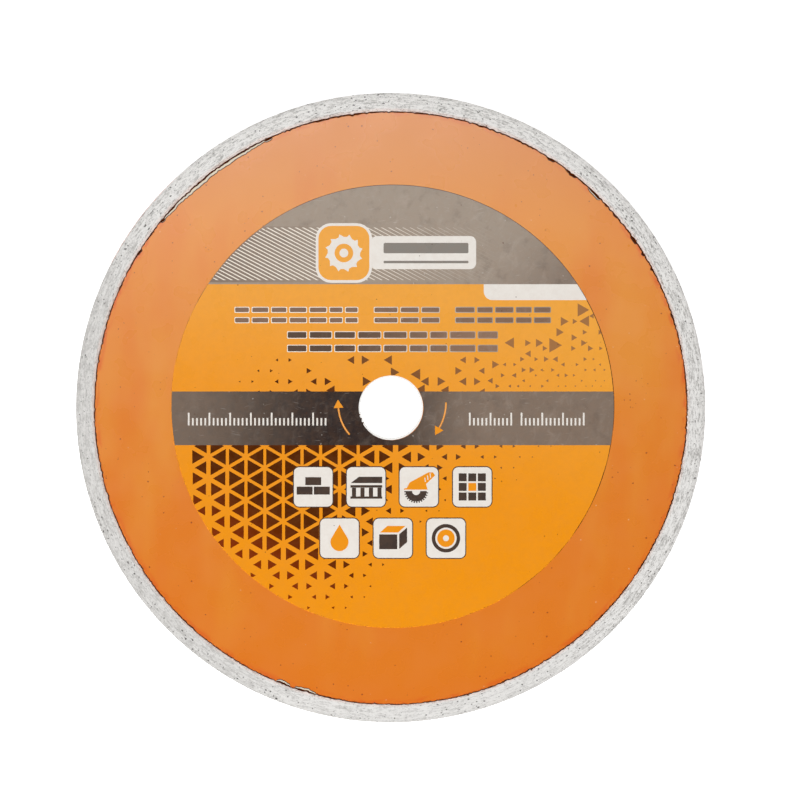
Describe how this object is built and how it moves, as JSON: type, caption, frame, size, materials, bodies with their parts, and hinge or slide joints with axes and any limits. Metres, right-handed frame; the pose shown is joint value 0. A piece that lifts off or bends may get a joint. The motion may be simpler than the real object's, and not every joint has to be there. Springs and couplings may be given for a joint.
{
  "type": "diamond blade",
  "caption": "Flat round continuous-rim diamond cutting blade with a plain centre bore, painted steel core, printed label and pale sintered rim.",
  "frame": {"origin": "centre of the bore, half-way through the steel core", "axes": "+Z along the bore, out of the printed face; +Y to the top of the label"},
  "size_m": [0.23, 0.23, 0.0022],
  "materials": {
    "core_steel": "bare rolled steel, fine scratches",
    "bond_metal": "matt sintered metal, dressed with concentric scratches, pitted",
    "diamond": "dark grey-brown crystal, glossy facets",
    "orange_enamel": "satin baked enamel with specks",
    "label": "satin printed film, no lettering"
  },
  "bodies": {
    "root": {"steel_core": "core_steel", "rim_backing": "bond_metal", "diamond_rim": "bond_metal", "diamond_grit": "diamond", "front_enamel": "orange_enamel", "back_enamel": "orange_enamel", "front_label": "label"}
  },
  "joints": []
}
